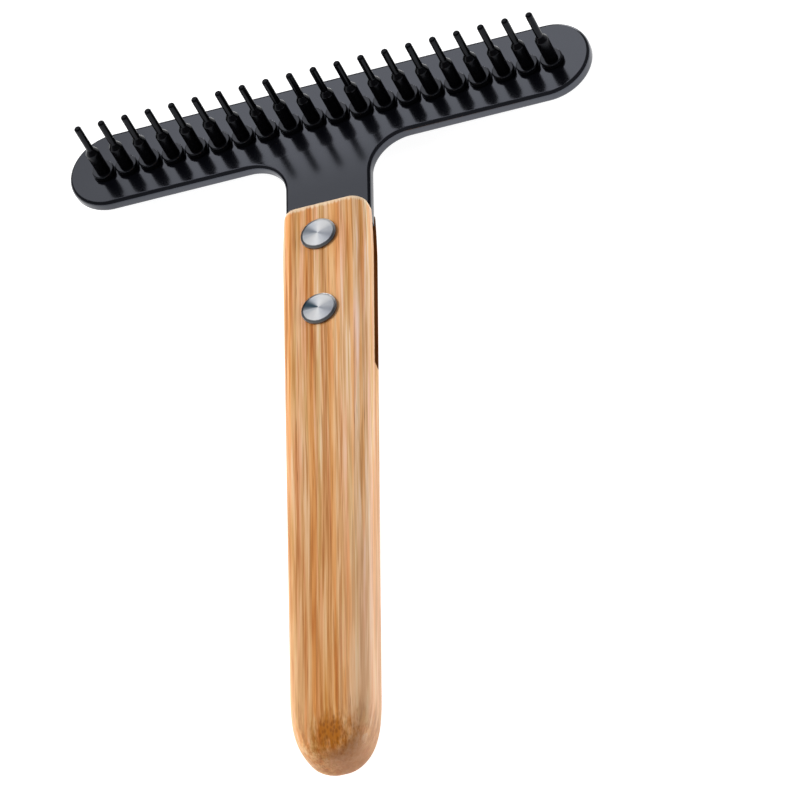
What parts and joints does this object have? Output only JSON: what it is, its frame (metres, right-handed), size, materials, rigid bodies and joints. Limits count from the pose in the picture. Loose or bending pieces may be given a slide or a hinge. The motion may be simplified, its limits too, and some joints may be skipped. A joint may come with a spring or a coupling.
{
  "type": "pet grooming rake",
  "caption": "T-shaped pet grooming rake: a black steel bar with a row of stepped turning pins, riveted into a slotted bamboo handle.",
  "frame": {"origin": "centre of the bounding box in X and Y, at its lowest point in Z, which is the top of the back rivet heads: the tool lies on its back", "axes": "+X along the head's bar, +Y along the handle towards the head, +Z the way the pins point"},
  "size_m": [0.1104, 0.1668, 0.0214],
  "materials": {
    "black_plate": "satin black coating",
    "black_pins": "semi-gloss black coating",
    "bamboo": "smooth oiled laminated bamboo",
    "rivet_steel": "spun, with fine rings"
  },
  "bodies": {
    "tool": {"head_plate": "black_plate", "handle": "bamboo", "upper_rivet_post": "rivet_steel", "upper_rivet_cap": "rivet_steel", "lower_rivet_post": "rivet_steel", "lower_rivet_cap": "rivet_steel", "collar_01": "black_pins", "collar_02": "black_pins", "collar_03": "black_pins", "collar_04": "black_pins", "collar_05": "black_pins", "collar_06": "black_pins", "collar_07": "black_pins", "collar_08": "black_pins", "collar_09": "black_pins", "collar_10": "black_pins", "collar_11": "black_pins", "collar_12": "black_pins", "collar_13": "black_pins", "collar_14": "black_pins", "collar_15": "black_pins", "collar_16": "black_pins", "collar_17": "black_pins", "collar_18": "black_pins", "collar_19": "black_pins", "collar_20": "black_pins"},
    "pin_01": {"pin_01": "black_pins"},
    "pin_02": {"pin_02": "black_pins"},
    "pin_03": {"pin_03": "black_pins"},
    "pin_04": {"pin_04": "black_pins"},
    "pin_05": {"pin_05": "black_pins"},
    "pin_06": {"pin_06": "black_pins"},
    "pin_07": {"pin_07": "black_pins"},
    "pin_08": {"pin_08": "black_pins"},
    "pin_09": {"pin_09": "black_pins"},
    "pin_10": {"pin_10": "black_pins"},
    "pin_11": {"pin_11": "black_pins"},
    "pin_12": {"pin_12": "black_pins"},
    "pin_13": {"pin_13": "black_pins"},
    "pin_14": {"pin_14": "black_pins"},
    "pin_15": {"pin_15": "black_pins"},
    "pin_16": {"pin_16": "black_pins"},
    "pin_17": {"pin_17": "black_pins"},
    "pin_18": {"pin_18": "black_pins"},
    "pin_19": {"pin_19": "black_pins"},
    "pin_20": {"pin_20": "black_pins"}
  },
  "joints": [
    {"name": "pin_01_spin", "type": "hinge", "parent": "tool", "child": "pin_01", "pos_m": [-0.0475, 0.07337, 0.0054], "axis": [0, 0, 1], "continuous": true},
    {"name": "pin_02_spin", "type": "hinge", "parent": "tool", "child": "pin_02", "pos_m": [-0.0425, 0.07337, 0.0054], "axis": [0, 0, 1], "continuous": true},
    {"name": "pin_03_spin", "type": "hinge", "parent": "tool", "child": "pin_03", "pos_m": [-0.0375, 0.07337, 0.0054], "axis": [0, 0, 1], "continuous": true},
    {"name": "pin_04_spin", "type": "hinge", "parent": "tool", "child": "pin_04", "pos_m": [-0.0325, 0.07337, 0.0054], "axis": [0, 0, 1], "continuous": true},
    {"name": "pin_05_spin", "type": "hinge", "parent": "tool", "child": "pin_05", "pos_m": [-0.0275, 0.07337, 0.0054], "axis": [0, 0, 1], "continuous": true},
    {"name": "pin_06_spin", "type": "hinge", "parent": "tool", "child": "pin_06", "pos_m": [-0.0225, 0.07337, 0.0054], "axis": [0, 0, 1], "continuous": true},
    {"name": "pin_07_spin", "type": "hinge", "parent": "tool", "child": "pin_07", "pos_m": [-0.0175, 0.07337, 0.0054], "axis": [0, 0, 1], "continuous": true},
    {"name": "pin_08_spin", "type": "hinge", "parent": "tool", "child": "pin_08", "pos_m": [-0.0125, 0.07337, 0.0054], "axis": [0, 0, 1], "continuous": true},
    {"name": "pin_09_spin", "type": "hinge", "parent": "tool", "child": "pin_09", "pos_m": [-0.0075, 0.07337, 0.0054], "axis": [0, 0, 1], "continuous": true},
    {"name": "pin_10_spin", "type": "hinge", "parent": "tool", "child": "pin_10", "pos_m": [-0.0025, 0.07337, 0.0054], "axis": [0, 0, 1], "continuous": true},
    {"name": "pin_11_spin", "type": "hinge", "parent": "tool", "child": "pin_11", "pos_m": [0.0025, 0.07337, 0.0054], "axis": [0, 0, 1], "continuous": true},
    {"name": "pin_12_spin", "type": "hinge", "parent": "tool", "child": "pin_12", "pos_m": [0.0075, 0.07337, 0.0054], "axis": [0, 0, 1], "continuous": true},
    {"name": "pin_13_spin", "type": "hinge", "parent": "tool", "child": "pin_13", "pos_m": [0.0125, 0.07337, 0.0054], "axis": [0, 0, 1], "continuous": true},
    {"name": "pin_14_spin", "type": "hinge", "parent": "tool", "child": "pin_14", "pos_m": [0.0175, 0.07337, 0.0054], "axis": [0, 0, 1], "continuous": true},
    {"name": "pin_15_spin", "type": "hinge", "parent": "tool", "child": "pin_15", "pos_m": [0.0225, 0.07337, 0.0054], "axis": [0, 0, 1], "continuous": true},
    {"name": "pin_16_spin", "type": "hinge", "parent": "tool", "child": "pin_16", "pos_m": [0.0275, 0.07337, 0.0054], "axis": [0, 0, 1], "continuous": true},
    {"name": "pin_17_spin", "type": "hinge", "parent": "tool", "child": "pin_17", "pos_m": [0.0325, 0.07337, 0.0054], "axis": [0, 0, 1], "continuous": true},
    {"name": "pin_18_spin", "type": "hinge", "parent": "tool", "child": "pin_18", "pos_m": [0.0375, 0.07337, 0.0054], "axis": [0, 0, 1], "continuous": true},
    {"name": "pin_19_spin", "type": "hinge", "parent": "tool", "child": "pin_19", "pos_m": [0.0425, 0.07337, 0.0054], "axis": [0, 0, 1], "continuous": true},
    {"name": "pin_20_spin", "type": "hinge", "parent": "tool", "child": "pin_20", "pos_m": [0.0475, 0.07337, 0.0054], "axis": [0, 0, 1], "continuous": true}
  ]
}
